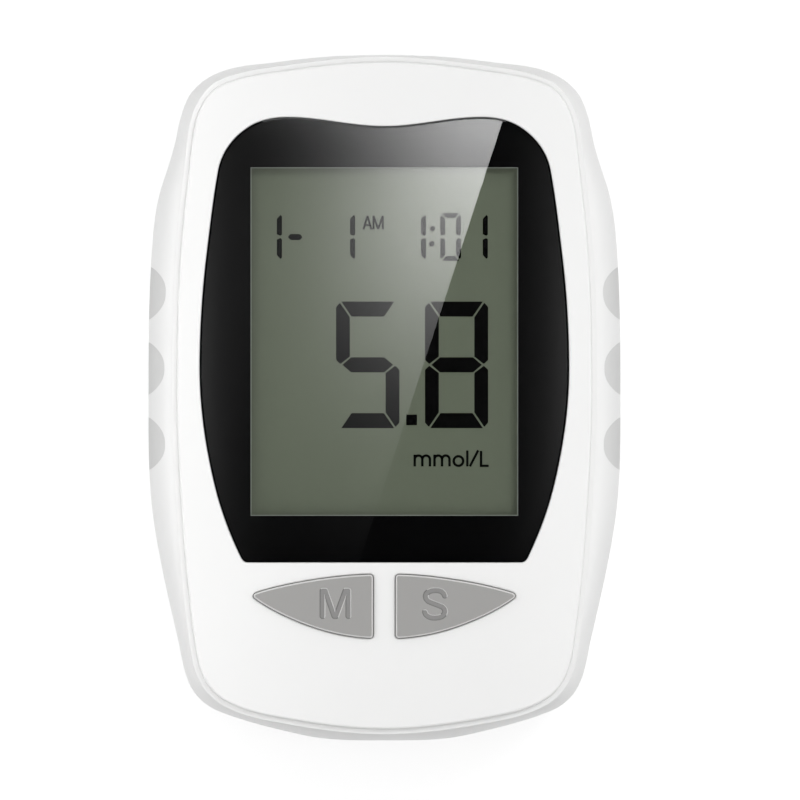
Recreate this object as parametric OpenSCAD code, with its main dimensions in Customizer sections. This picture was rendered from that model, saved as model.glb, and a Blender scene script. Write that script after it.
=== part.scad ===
// Blood glucose meter: a palm-sized test-strip reader lying on its back.
// Display up (+Z), strip port towards +Y, the two keys towards -Y.
// Origin: centre of the footprint, on the surface that the feet rest on. Millimetres.

/* [Case] */
// Width across the widest part of the case
case_w = 58.5; // [58:0.1:59]
// Length from the bottom end to the strip-port end
case_len = 85; // [84.6:0.1:85.6]
// Height of the flat front face above the table
face_z = 18.4; // [18.4:0.1:18.8]
// Height of the back face above the table, which is how far the feet stand out
back_z = 0.6; // [0.5:0.05:0.7]
// Height at which the case is widest
widest_z = 9.5; // [9:0.1:10]
// Height of the rim that surrounds the front cover
rim_z = 17.6; // [17.5:0.05:17.7]
// Wall thickness of the rear case
wall = 1.8; // [1.6:0.1:1.9]
// How far the back face is drawn in, as a share of the inset of the cover
back_draw = 1.5; // [1.3:0.1:1.6]
// Rounding where the flanks meet the back face
back_round = 1.4; // [1:0.1:1.6]

/* [Front cover] */
// Gap between the cover and the rim of the rear case
cover_gap = 0.15; // [0.1:0.01:0.2]
// Thickness of the cover plate
cover_t = 1.6; // [1.4:0.1:1.7]
// Rounding of the cover's outer edge
cover_round = 0.6; // [0.4:0.05:0.8]
// Gap between the window lens and its recess
lens_gap = 0.12; // [0.08:0.01:0.15]
// Thickness of the window lens
lens_t = 1.65; // [1.5:0.05:1.65]
// How far the lens lies below the front face
lens_drop = 0.15; // [0.15:0.01:0.2]

/* [Display] */
// Width of the display seen through the window
view_w = 33.3; // [33:0.1:33.6]
// Height of the display seen through the window
view_h = 43.25; // [43:0.05:43.4]
// Centre of the display above the middle of the case
view_y = 6.95; // [6.85:0.01:7.05]

/* [Keys] */
// Distance that a key travels when it is pressed
key_travel = 0.6; // [0.4:0.05:0.6]
// Height of the keys above the front face
key_proud = 0.5; // [0.4:0.05:0.6]
// Gap round a key in its opening
key_gap = 0.2; // [0.15:0.01:0.25]

/* [Grips] */
// Distance between neighbouring grip pads
grip_pitch = 9.3; // [9:0.1:9.5]
// Place of the middle grip pad along the case
grip_y = 3.6; // [3:0.1:4]
// Width of a grip pad
grip_w = 6.5; // [6.2:0.1:6.8]
// Depth of a grip pad in the wall of the case
grip_t = 1; // [0.8:0.1:1.1]
// Height at which a grip pad ends near the front
grip_top = 16.8; // [16.6:0.05:17.1]
// Height at which a grip pad ends near the back
grip_low = 3.2; // [2.8:0.1:4]
// Squareness of the outline of a grip pad, where 2 is an ellipse
grip_square = 2.65; // [2.2:0.05:3]

/* [Battery] */
// Diameter of the coin cell
cell_d = 20; // [20]
// Thickness of the coin cell
cell_t = 3.2; // [3.2]
// Place of the coin cell along the case
cell_y = -22.3; // [-22.4:0.1:-22.2]
// Width of the battery door
door_w = 23; // [22.8:0.1:23.1]
// Thickness of the battery door
door_t = 1.7; // [1.6:0.05:1.7]
// Gap round the battery door
door_gap = 0.15; // [0.12:0.01:0.2]

/* [Hidden] */
$fn = 48;

eps = 0.01;
far = 60;          // longer than anything that it cuts
steps = 3;         // points on each curve of the case outlines
lens_steps = 4;    // points on each curve of the lens and key outlines

// ---- Outlines: curves through [x, y, heading in degrees], anticlockwise ----

// A half outline is written for a case 58.5 mm wide and 85 mm long.
sx = case_w / 58.5;
sy = case_len / 85;
case_nodes = [[0, -42.5, 0], [10.4, -41.78, 13], [20.5, -38.9, 21.7], [24.05, -35.75, 63.3],
  [25.65, -29.7, 76.7], [28.43, -16.4, 80.8], [29.25, 1.3, 90], [28.8, 18.6, 94.1],
  [27.5, 26.5, 108.3], [25.68, 32.87, 100], [24.58, 36.65, 113], [21.1, 40.03, 154.3],
  [12.7, 41.65, 172], [0, 42.5, 180]];
cover_nodes = [[0, -41, 0], [11.6, -39.8, 10], [19.8, -37.4, 31], [22.35, -34.6, 64],
  [23.55, -29.6, 82], [24.9, -16.5, 86], [25.65, 1, 90], [25.2, 17.8, 94],
  [24.35, 26.5, 97], [23.7, 32.2, 98], [22.7, 35.85, 117], [20.25, 38.6, 155],
  [11.65, 40.5, 172], [0, 41.5, 180]];
lens_nodes = [[0, -20.35, 0], [16.9, -20.35, 0], [17.7, -19.75, 64], [20.95, -10.8, 76.5],
  [22.8, 3.6, 90], [21.9, 18, 97], [20.5, 28.1, 100.5], [16.6, 33.5, 149],
  [12, 34.62, 180], [0, 33.48, 180]];
// The key on the +X side, as a whole outline
key_nodes = [[1.43, -29.32, -90], [1.8, -29.69, 3], [9.57, -28.05, 20.6], [15.76, -24.94, 35],
  [16.12, -24.51, 92], [15.62, -24.1, 163], [6.89, -22.32, 172.6], [1.8, -21.91, 179],
  [1.43, -22.28, 270]];

// Length of a control arm that keeps a curve close to an arc
function arm(chord, turn) =
  abs(turn) < 1 ? chord / 3 : chord * 2 / 3 * tan(turn / 4) / sin(turn / 2);

function curve(a, b, n) =
  let(p = [a[0], a[1]], q = [b[0], b[1]], h = arm(norm(q - p), b[2] - a[2]),
      p1 = p + h * [cos(a[2]), sin(a[2])], q1 = q - h * [cos(b[2]), sin(b[2])])
  [for (i = [0 : n - 1]) let(t = i / n, s = 1 - t)
    s * s * s * p + 3 * s * s * t * p1 + 3 * s * t * t * q1 + t * t * t * q];

function path(nodes, n) = [
  for (k = [0 : len(nodes) - 2]) each curve(nodes[k], nodes[k + 1], n),
  [nodes[len(nodes) - 1][0], nodes[len(nodes) - 1][1]]];

// A right half and its mirror image, as one closed ring
function both_halves(half) = [each half,
  for (i = [len(half) - 2 : -1 : 1]) [-half[i][0], half[i][1]]];

function scaled(ring) = [for (p = ring) [p[0] * sx, p[1] * sy]];

function between(a, b, share) = [for (i = [0 : len(a) - 1]) a[i] + share * (b[i] - a[i])];

// A ring moved inwards by d, point by point along its normals
function inset(ring, d) = let(n = len(ring)) [for (i = [0 : n - 1])
  let(along = ring[(i + 1) % n] - ring[(i + n - 1) % n])
  ring[i] - d / norm(along) * [along[1], -along[0]]];

case_ring = scaled(both_halves(path(case_nodes, steps)));
cover_ring = scaled(both_halves(path(cover_nodes, steps)));
lens_ring = both_halves(path(lens_nodes, lens_steps));
key_ring = path(key_nodes, lens_steps);

// ---- Lofts ----

function at_height(ring, z) = [for (p = ring) [p[0], p[1], z]];

// A closed skin over rings of equal count, from the first ring, which faces down,
// to the last, which faces up
module loft(rings) {
  n = len(rings[0]);
  last = (len(rings) - 1) * n;
  polyhedron(
    points = [for (r = rings) each r],
    faces = [
      [for (i = [0 : n - 1]) i],
      for (j = [0 : len(rings) - 2], i = [0 : n - 1])
        let(a = j * n + i, b = j * n + (i + 1) % n)
        each [[a, b + n, b], [a, a + n, b + n]],
      [for (i = [n - 1 : -1 : 0]) last + i]
    ],
    convexity = 10);
}

// Flank of the case: a quarter ellipse above the widest height and one below
upper_turns = [15, 30, 44, 57, 69, 80];
lower_turns = [90, 78, 64, 50, 34, 17, 0];
upper_rise = rim_z - widest_z;
lower_rise = widest_z - back_z;

function upper_z(turn) = widest_z + upper_rise * sin(turn);
function lower_z(turn) = widest_z - lower_rise * sin(turn);
function back_edge(z) = let(u = max(0, (back_z + back_round - z) / back_round))
  back_round * (1 - sqrt(max(0, 1 - u * u)));

function upper_ring(turn) = between(case_ring, cover_ring, 1 - cos(turn));
function lower_ring(turn) = inset(
  between(case_ring, cover_ring, back_draw * (1 - cos(turn))), back_edge(lower_z(turn)));

// ---- Rear case ----

ledge_z = 15.5;      // shelf that the cover stands on
ledge_w = 0.9;
floor_z = back_z + wall;
board_z = 8;         // underside of the main board
board_t = 1;
board_top = board_z + board_t;

case_screw_at = [[13.8, 36.6], [17.2, -34]];
board_screw_at = [[19.2, 35], [18.9, -22.2]];
foot_at = [[17.2, 27], [17.2, -26]];
foot_r = 3;
foot_seat = 1.2;     // top of the feet in their seats

module four(places) {
  for (p = places, s = [-1, 1]) translate([s * p[0], p[1], 0]) children();
}

// Box centred on x = 0
module slab(half_w, y, z) {
  translate([-half_w, y[0], z[0]]) cube([2 * half_w, y[1] - y[0], z[1] - z[0]]);
}

module tub() {
  loft([
    for (a = lower_turns) at_height(lower_ring(a), lower_z(a)),
    for (a = upper_turns) at_height(upper_ring(a), upper_z(a)),
    at_height(inset(cover_ring, -cover_gap), rim_z),
    at_height(inset(cover_ring, -cover_gap), ledge_z),
    at_height(inset(cover_ring, ledge_w), ledge_z),
    at_height(inset(upper_ring(26), wall), ledge_z - 2.4),
    at_height(inset(case_ring, wall), widest_z),
    at_height(inset(lower_ring(34), wall), lower_z(34)),
    at_height(inset(lower_ring(64), wall), floor_z)
  ]);
}

// Layer of the right flank, from `outside` beyond its surface to grip_t inside it
flank_from = 5 * steps;
flank_to = 8 * steps;

module flank_layer(outside) {
  function band(ring) = [
    for (i = [flank_from : flank_to]) inset(ring, -outside)[i],
    for (i = [flank_to : -1 : flank_from]) inset(ring, grip_t)[i]];
  loft([
    for (a = [64, 50, 34, 17, 0]) at_height(band(lower_ring(a)), lower_z(a)),
    for (a = upper_turns) at_height(band(upper_ring(a)), upper_z(a))
  ]);
}

function bulged(v, reach) = sign(v) * pow(abs(v), 2 / grip_square) * reach;

// Three upright pads that run across the right flank, as superellipses from the side
module grip_bars() {
  outline = [for (i = [0 : $fn - 1])
    let(t = i * 360 / $fn, reach = sin(t) > 0 ? grip_top - widest_z : widest_z - grip_low)
    [bulged(cos(t), grip_w / 2), bulged(sin(t), reach)]];
  for (k = [-1 : 1]) translate([case_w / 4, grip_y + k * grip_pitch, widest_z])
    rotate([90, 0, 90]) linear_extrude(case_w / 2) polygon(outline);
}

module side_grips() {
  intersection() {
    flank_layer(0);
    grip_bars();
  }
}

module grip_seats() {
  intersection() {
    flank_layer(0.5);
    grip_bars();
  }
}

post_r = 2.9;
post_top = 5.9;
head_seat = 4;       // shelf in a screw post that the screw head pulls against
screw_r = 0.9;

// Battery bay
door_front = -9.4;
door_end = -39.9;    // where the end wall of the door begins
door_wide = 13.1;    // half width of the end wall of the door
door_top = 6.3;      // height of the end wall of the door
tongue_x = [10.9, 12.9];
tongue_z = [2.5, 3.3];
bay_half = 14.5;
bay_y = [-34.5, -8];
bay_roof = [6.35, 7.2];
cell_z = 2.6;
cell_r = cell_d / 2;

module bay_block() {
  slab(bay_half, bay_y, [floor_z - 0.4, bay_roof[1]]);
}

// What the battery bay leaves open
module bay_space() {
  g = door_gap;
  slab(door_w / 2 + g, [-far, door_front + g], [-1, floor_z + 0.1]);
  slab(door_wide + g, [-far, door_end + g], [-1, door_top + g]);
  slab(tongue_x[1] + 0.2, [-far, door_front + g], [floor_z, tongue_z[1] + g]);
  translate([0, cell_y, 0]) cylinder(r = cell_r + 0.25, h = bay_roof[0]);
  slab(7, [bay_y[0] - 1, cell_y], [floor_z, bay_roof[0]]);
  slab(2.5, [-26.5, -15.5], [5, far / 6]);
  slab(2.5, [-12.7, -10.9], [floor_z + 1, far / 6]);
}

// Strip port in the end wall
port_half = 4.3;
port_z = [9.55, 11.45];
port_mid = (port_z[0] + port_z[1]) / 2;

module port(half_w, high, y) {
  r = high / 2;
  translate([-half_w + r, y, port_mid - r]) cube([2 * (half_w - r), 10, high]);
  for (s = [-1, 1]) translate([s * (half_w - r), y, port_mid])
    rotate([-90, 0, 0]) cylinder(r = r, h = 10);
}

module rear_case() {
  color("whitesmoke") difference() {
    union() {
      tub();
      four(case_screw_at) translate([0, 0, back_z + 1]) cylinder(r = post_r, h = post_top - back_z - 1);
      four([[19.6, 12], [19.6, -9]]) translate([0, 0, floor_z - 0.4])
        cylinder(r = 1.2, h = board_z - floor_z + 0.4);
      for (y = [2, 22]) slab(20, [y, y + 1], [floor_z - 0.4, floor_z + 1.4]);
      bay_block();
    }
    bay_space();
    four(case_screw_at) {
      translate([0, 0, -1]) cylinder(r = 2.1, h = head_seat + 1);
      cylinder(r = 1.15, h = far / 6);
    }
    four(foot_at) translate([0, 0, -1]) cylinder(r = foot_r + 0.1, h = foot_seat + 1);
    port(port_half, port_z[1] - port_z[0], 38);
    port(port_half + 1, port_z[1] - port_z[0] + 1.6, case_len / 2 - 0.6);
    grip_seats();
    mirror([1, 0, 0]) grip_seats();
  }
}

module right_grip_pads() {
  color("silver") side_grips();
}

module left_grip_pads() {
  color("silver") mirror([1, 0, 0]) side_grips();
}

module rubber_feet() {
  color("dimgray") four(foot_at) rotate_extrude()
    polygon([[0, 0], [foot_r - 0.4, 0], [foot_r - 0.1, 0.12], [foot_r, 0.4], [foot_r, foot_seat],
      [0, foot_seat]]);
}

module case_screws() {
  color("silver") four(case_screw_at) difference() {
    union() {
      translate([0, 0, head_seat - 1.5]) cylinder(r = 1.8, h = 1.5);
      translate([0, 0, head_seat - 0.1]) cylinder(r = screw_r, h = 8.6);
    }
    translate([0, 0, head_seat - 2]) cylinder(r = 0.85, h = 1.3, $fn = 6);
  }
}

// ---- Battery door ----

// End of the case, from the line y = from to its outer surface
module case_end(from) {
  count = len(case_ring);
  reach = 2 * steps;
  function band(ring) = [
    for (k = [-reach : reach]) ring[(k + count) % count],
    [ring[reach][0], from], [-ring[reach][0], from]];
  loft([for (a = [90, 78, 64, 50, 34, 17]) at_height(band(lower_ring(a)), lower_z(a))]);
}

module battery_door() {
  plate_end = -36;
  tread_pitch = 1.5;
  color("whitesmoke") difference() {
    union() {
      slab(door_w / 2, [plate_end - 0.5, door_front], [back_z, back_z + door_t]);
      difference() {
        intersection() {
          case_end(plate_end);
          union() {
            slab(door_w / 2, [-far, plate_end + 1], [0, door_top]);
            slab(door_wide, [-far, door_end], [0, door_top]);
          }
        }
        slab(far / 2, [-40.3, plate_end + 2], [back_z + door_t, far / 6]);
      }
      for (s = [-1, 1]) {
        x0 = s > 0 ? tongue_x[0] : -tongue_x[1];
        x1 = s > 0 ? tongue_x[0] : -door_w / 2;
        translate([x0, -38.5, tongue_z[0]])
          cube([tongue_x[1] - tongue_x[0], 27.5, tongue_z[1] - tongue_z[0]]);
        translate([x1, -38.5, back_z + door_t - 0.2])
          cube([door_w / 2 - tongue_x[0], 27.5, 0.8]);
      }
    }
    for (k = [0 : 5]) translate([-6, -32 + k * tread_pitch, 0]) cube([12, 0.6, back_z + 0.3]);
  }
}

module coin_cell() {
  color("gainsboro") translate([0, cell_y, cell_z]) rotate_extrude()
    polygon([[0, 0], [cell_r - 0.4, 0], [cell_r, 0.4], [cell_r, cell_t - 0.5],
      [cell_r - 0.3, cell_t - 0.25], [cell_r - 1.3, cell_t - 0.25], [cell_r - 1.5, cell_t],
      [0, cell_t]]);
}

// Sheet-metal strip of thickness 0.25 along points given as [y, z], centred on x = 0
module leaf(points, width) {
  t = 0.25;
  n = len(points);
  up = [for (i = [0 : n - 1])
    let(d = points[min(i + 1, n - 1)] - points[max(i - 1, 0)])
    points[i] + t / norm(d) * [-d[1], d[0]]];
  translate([width / 2, 0, 0]) rotate([90, 0, -90]) linear_extrude(width)
    polygon([for (p = points) [-p[0], p[1]], for (i = [n - 1 : -1 : 0]) [-up[i][0], up[i][1]]]);
}

module battery_contact_negative() {
  touch_z = cell_z + cell_t + 0.04;
  color("gold") leaf([[-24.4, touch_z + 0.7], [-23.4, touch_z + 0.1], [-22.4, touch_z],
    [-21.4, touch_z + 0.15], [-18.2, board_z - 0.3], [-17.4, board_z - 0.25],
    [-14.8, board_z - 0.25]], 4);
}

module battery_contact_positive() {
  rim_y = cell_y + cell_r + 0.05;
  color("gold") leaf([[-8.8, board_z - 0.26], [-11, board_z - 0.26], [-11.6, board_z - 0.6],
    [-11.8, 6.4], [rim_y + 0.02, 5], [-11.9, 3.9], [-11.5, 3.6]], 4);
}

// ---- Main board and what it carries ----

switch_at = [8, -25.7];
switch_h = 3;
switch_bore = 1.8;

module rounded_plate(half_w, y, z, r) {
  slab(half_w - r, y, z);
  slab(half_w, [y[0] + r, y[1] - r], z);
  for (s = [-1, 1], cy = [y[0] + r, y[1] - r]) translate([s * (half_w - r), cy, z[0]])
    cylinder(r = r, h = z[1] - z[0]);
}

holder_pin_at = [[18.95, 27], [18.95, -14]];

module main_board() {
  color("darkgreen") difference() {
    rounded_plate(21, [-37.5, 38.2], [board_z, board_top], 5);
    four(case_screw_at) translate([0, 0, board_z - 1]) cylinder(r = 2.75, h = 3);
    four(board_screw_at) translate([0, 0, board_z - 1]) cylinder(r = 0.85, h = 3);
    four(holder_pin_at) translate([0, 0, board_z - 1]) cylinder(r = 0.65, h = 3);
  }
}

module chip(at, size, lead_pitch) {
  translate([at[0] - size[0] / 2, at[1] - size[1] / 2, board_top + 0.15]) cube(size);
  leads = floor(size[1] / lead_pitch) - 1;
  for (s = [-1, 1], k = [0 : leads])
    translate([at[0] + s * (size[0] / 2 + 0.35) - 0.5, at[1] + (k - leads / 2) * lead_pitch - 0.15,
      board_top]) cube([1, 0.3, 0.5]);
}

module processor_chip() {
  color("dimgray") chip([-4, 12], [9, 9, 1.1], 1.27);
}

module board_components() {
  color("tan") {
    chip([8.5, 14], [4, 5, 0.9], 1.27);
    for (k = [0 : 4]) translate([-12.2 + k * 3.2, 0.5, board_top]) cube([2, 1.25, 0.9]);
    for (k = [0 : 3]) translate([5 + k * 2.6, 5, board_top]) cube([1.25, 2, 0.7]);
    for (k = [0 : 2]) translate([11.6, -9 + k * 3, board_top]) cube([3.2, 1.6, 1.4]);
    translate([-13, -9, board_top]) cube([5, 3.2, 1.6]);
  }
}

module crystal() {
  color("silver") translate([6, -4, board_top + 0.9]) {
    rotate([0, -90, 0]) cylinder(r = 0.9, h = 5);
    for (y = [-0.35, 0.35]) translate([-eps, y, -0.75]) rotate([0, 90, 0]) cylinder(r = 0.15, h = 2);
  }
}

module buzzer() {
  color("dimgray") translate([-10, 12, board_z - 3.1]) difference() {
    cylinder(r = 5.5, h = 3.1);
    translate([0, 0, -1]) cylinder(r = 0.8, h = 2.5);
  }
}

// Slot and springs that take the test strip
strip_half = 3.4;
strip_z = [10.05, 10.95];
connector_y = [33.7, 40.2];

module strip_connector() {
  color("ivory") difference() {
    union() {
      slab(6, connector_y, [board_top, 12.2]);
      slab(7, [connector_y[0], connector_y[0] + 2], [board_top, 10.6]);
    }
    slab(strip_half, [connector_y[0] + 1.2, far], strip_z);
    slab(strip_half + 0.5, [connector_y[1] - 0.5, far], [strip_z[0] - 0.3, strip_z[1] + 0.3]);
    for (k = [-1 : 1]) translate([k * 2 - 0.6, connector_y[0] + 1.2, strip_z[1] - eps])
      cube([1.2, 3.8, 3]);
  }
}

module strip_contacts() {
  color("gold") for (k = [-1 : 1]) translate([k * 2, 0, 0])
    leaf([[connector_y[0] + 4.5, 11.5], [connector_y[0] + 3.6, 10.7], [connector_y[0] + 2.8, 10.6],
      [connector_y[0] + 1.6, 11.6]], 0.8);
}

module switch_body() {
  difference() {
    translate([-3.1, -3.1, board_top]) cube([6.2, 6.2, switch_h]);
    translate([0, 0, board_top + 0.8]) cylinder(r = switch_bore, h = switch_h);
  }
  for (sx = [-1, 1], sy = [-1, 1]) translate([sx * 3.6 - 0.5, sy * 2.2 - 0.35, board_top])
    cube([1, 0.7, 0.3]);
}

module switch_plunger() {
  translate([0, 0, board_top + 0.85 + key_travel]) cylinder(r = switch_bore - 0.05,
    h = stem_low - board_top - 0.85 - key_travel);
}

module memory_switch() {
  color("dimgray") translate([-switch_at[0], switch_at[1], 0]) switch_body();
}

module set_switch() {
  color("dimgray") translate([switch_at[0], switch_at[1], 0]) switch_body();
}

module memory_switch_plunger() {
  color("ivory") translate([-switch_at[0], switch_at[1], 0]) switch_plunger();
}

module set_switch_plunger() {
  color("ivory") translate([switch_at[0], switch_at[1], 0]) switch_plunger();
}

module board_screws() {
  color("silver") four(board_screw_at) difference() {
    union() {
      translate([0, 0, board_z - 1]) cylinder(r = 1.4, h = 1);
      translate([0, 0, board_z - 0.1]) cylinder(r = 0.65, h = 5);
    }
    translate([0, 0, board_z - 2]) cylinder(r = 0.6, h = 1.6, $fn = 6);
  }
}

// ---- Display stack ----

glass_z = 13;        // underside of the rear glass
glass_t = 1;
glass_half = 18.2;
front_glass_y = [-18.4, 31.6];
rear_glass_y = [-16, 29.2];
holder_z = [board_top, 14.9];
film_t = 0.2;
view_half = view_w / 2;
view_span = [view_y - view_h / 2, view_y + view_h / 2];

function grown(y, d) = [y[0] - d, y[1] + d];

module lcd_reflector() {
  color("gray") slab(17.6, grown(view_span, 0.8), [glass_z - film_t, glass_z]);
}

module lcd_rear_glass() {
  color("darkseagreen") slab(glass_half, rear_glass_y, [glass_z, glass_z + glass_t]);
}

module lcd_front_glass() {
  color("darkseagreen") slab(glass_half, front_glass_y, [glass_z + glass_t, glass_z + 2 * glass_t]);
}

module lcd_front_polariser() {
  z = glass_z + 2 * glass_t;
  color("gray") slab(17.2, grown(view_span, 0.5), [z, z + film_t]);
}

module upper_zebra_strip() {
  color("dimgray") slab(17, [29.6, 31.4], [board_top, glass_z + glass_t]);
}

module lower_zebra_strip() {
  color("dimgray") slab(17, [-18.2, -16.4], [board_top, glass_z + glass_t]);
}

module lcd_holder() {
  pocket_top = glass_z + 2 * glass_t + film_t + 0.05;
  color("white") difference() {
    union() {
      slab(19.6, grown(front_glass_y, 1.3), holder_z);
      four(holder_pin_at) translate([0, 0, board_z - 0.5]) cylinder(r = 0.6, h = 2);
    }
    slab(glass_half + 0.15, grown(front_glass_y, 0.15), [glass_z - film_t, pocket_top]);
    slab(17.3, grown(view_span, 0.9), [glass_z, far / 3]);
    slab(17.3, [-15, 28.2], [board_top - 1, board_top + 2]);
    slab(15.5, [-13.5, 26.7], [board_top, glass_z]);
    slab(17.1, [29.5, 31.5], [board_top - 1, glass_z]);
    slab(17.1, [-18.3, -16.3], [board_top - 1, glass_z]);
  }
}

// ---- Front cover and window ----

recess_z = face_z - lens_drop - lens_t - 0.3;
frame_z = 15.2;      // underside of the frame that carries the lens
plate_low = face_z - cover_t;
boss_r = 2.4;
board_boss_r = 1.9;

module lens_plate(margin, z) {
  translate([0, 0, z[0]]) linear_extrude(z[1] - z[0]) polygon(inset(lens_ring, margin));
}

module key_plate(margin, z) {
  for (s = [0, 1]) mirror([s, 0, 0]) translate([0, 0, z[0]]) linear_extrude(z[1] - z[0])
    polygon(inset(key_ring, margin));
}

module cover_shell() {
  loft([
    at_height(inset(cover_ring, 2.1), plate_low),
    at_height(inset(cover_ring, 2), ledge_z - 1.3),
    at_height(inset(cover_ring, 1.1), ledge_z - 1.3),
    at_height(inset(cover_ring, 1), ledge_z),
    at_height(cover_ring, ledge_z),
    for (turn = [0, 30, 60, 90])
      at_height(inset(cover_ring, cover_round * (1 - cos(turn))),
        face_z - cover_round * (1 - sin(turn)))
  ]);
}

module front_cover() {
  color("white") difference() {
    union() {
      cover_shell();
      lens_plate(-0.7, [frame_z, plate_low + 0.2]);
      four(case_screw_at) translate([0, 0, post_top + 0.1])
        cylinder(r = boss_r, h = plate_low - post_top);
      four(board_screw_at) translate([0, 0, board_top])
        cylinder(r = board_boss_r, h = plate_low - board_top + 0.1);
      for (y = [-31.6, -36.2]) slab(13, [y, y + 0.9], [ledge_z - 1.3, plate_low + 0.1]);
    }
    lens_plate(-lens_gap, [recess_z, far]);
    lens_plate(-0.42, [face_z - 0.2, far]);
    slab(view_half + 0.75, grown(view_span, 0.75), [frame_z - 1, far / 3]);
    key_plate(-0.7, [frame_z - 1, plate_low]);
    key_plate(-key_gap, [frame_z, far]);
    four(case_screw_at) cylinder(r = screw_r + 0.05, h = 14);
    four(board_screw_at) cylinder(r = 0.7, h = 14);
  }
}

module lens_adhesive() {
  color("black") difference() {
    lens_plate(0.1, [recess_z, recess_z + 0.2]);
    slab(view_half + 0.5, grown(view_span, 0.5), [0, far / 3]);
  }
}

module window_border() {
  color("black") difference() {
    lens_plate(0.1, [recess_z + 0.2, recess_z + 0.3]);
    slab(view_half, view_span, [0, far / 3]);
  }
}

module window_lens() {
  color("black", 0.3) lens_plate(0, [recess_z + 0.3, face_z - lens_drop]);
}

// ---- Keys ----

flange_z = [15.6, 16.5];
stem_low = 13.2;

module key_cap() {
  top = face_z + key_proud;
  loft([
    at_height(key_ring, flange_z[0]),
    at_height(key_ring, top - 0.25),
    at_height(inset(key_ring, 0.08), top - 0.1),
    at_height(inset(key_ring, 0.25), top)
  ]);
  translate([0, 0, flange_z[0]]) linear_extrude(flange_z[1] - flange_z[0])
    polygon(inset(key_ring, -0.45));
  translate([switch_at[0], switch_at[1], stem_low]) cylinder(r = 2, h = flange_z[0] - stem_low + 0.1);
}

module set_key() {
  color("darkgray") key_cap();
}

module memory_key() {
  color("darkgray") mirror([1, 0, 0]) key_cap();
}

rear_case();
battery_door();
coin_cell();
battery_contact_positive();
battery_contact_negative();
rubber_feet();
left_grip_pads();
right_grip_pads();
case_screws();
board_screws();
main_board();
processor_chip();
board_components();
crystal();
buzzer();
strip_connector();
strip_contacts();
memory_switch();
memory_switch_plunger();
set_switch();
set_switch_plunger();
upper_zebra_strip();
lower_zebra_strip();
lcd_holder();
lcd_reflector();
lcd_rear_glass();
lcd_front_glass();
lcd_front_polariser();
lens_adhesive();
window_border();
window_lens();
front_cover();
memory_key();
set_key();
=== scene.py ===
"""Looks of the blood glucose meter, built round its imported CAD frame.

The meter lies on its back, display up. Shapes are written in millimetres, as in the part's
own source, and turned into metres when a mesh is made.
"""
import math

import bpy
import numpy as np
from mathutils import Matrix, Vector

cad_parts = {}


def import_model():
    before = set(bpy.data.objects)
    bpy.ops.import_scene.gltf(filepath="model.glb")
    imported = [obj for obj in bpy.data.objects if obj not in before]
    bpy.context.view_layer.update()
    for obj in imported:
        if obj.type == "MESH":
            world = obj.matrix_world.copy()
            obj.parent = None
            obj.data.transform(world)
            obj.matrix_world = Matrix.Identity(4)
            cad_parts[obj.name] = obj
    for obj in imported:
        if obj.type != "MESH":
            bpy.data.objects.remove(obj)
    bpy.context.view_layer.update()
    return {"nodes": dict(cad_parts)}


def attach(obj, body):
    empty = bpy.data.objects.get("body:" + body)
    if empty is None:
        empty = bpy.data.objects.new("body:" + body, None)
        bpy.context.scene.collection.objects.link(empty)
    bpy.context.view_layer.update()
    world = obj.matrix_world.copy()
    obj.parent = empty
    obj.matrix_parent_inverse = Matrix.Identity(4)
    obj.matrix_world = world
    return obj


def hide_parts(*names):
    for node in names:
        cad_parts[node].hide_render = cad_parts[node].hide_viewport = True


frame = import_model()

MM = 0.001

# ---- Driving dimensions, in millimetres ----
# They are the source's own, but for the display's opening, VIEW_*, which lies closer to the photograph.

CASE_LEN = 85.0
FACE_Z = 18.4
BACK_Z = 0.6
WIDEST_Z = 9.5
RIM_Z = 17.6
WALL = 1.8
BACK_DRAW = 1.5
BACK_ROUND = 1.4
COVER_T = 1.6
COVER_ROUND = 0.6
LENS_T = 1.65
LENS_DROP = 0.15
VIEW_W, VIEW_H, VIEW_Y = 33.07, 43.07, 6.915
KEY_PROUD = 0.5
KEY_GAP = 0.15
GRIP_PITCH, GRIP_Y, GRIP_W, GRIP_T = 9.3, 3.6, 6.5, 1.0
GRIP_TOP, GRIP_LOW, GRIP_SQUARE = 16.8, 3.2, 2.65
CELL_R, CELL_Y = 10.0, -22.3
DOOR_W, DOOR_T, DOOR_GAP = 23.0, 1.7, 0.15
DOOR_FRONT, DOOR_END, DOOR_WIDE, DOOR_TOP = -9.4, -39.9, 13.1, 6.3
TONGUE_X, TONGUE_Z = (10.9, 12.9), (2.5, 3.3)
BAY_HALF, BAY_Y, BAY_ROOF = 14.5, (-34.5, -8.0), (6.35, 7.2)
LEDGE_Z, LEDGE_W = 15.5, 0.9
FLOOR_Z = BACK_Z + WALL
CASE_SCREWS = ((13.8, 36.6), (17.2, -34.0))
FEET = ((17.2, 27.0), (17.2, -26.0))
FOOT_R, FOOT_SEAT = 3.0, 1.2
POST_R, POST_TOP, HEAD_SEAT = 2.9, 5.9, 4.0
BOSS_R = 2.4
PORT_HALF, PORT_Z = 4.3, (9.55, 11.45)
SWITCH_AT = (8.0, -25.7)
FLANGE_Z = (15.6, 16.5)
STEM_LOW = 13.2
EPS = 0.02            # a step too small to be seen

# ---- Outlines: [x, y, heading in degrees], anticlockwise ----

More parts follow.
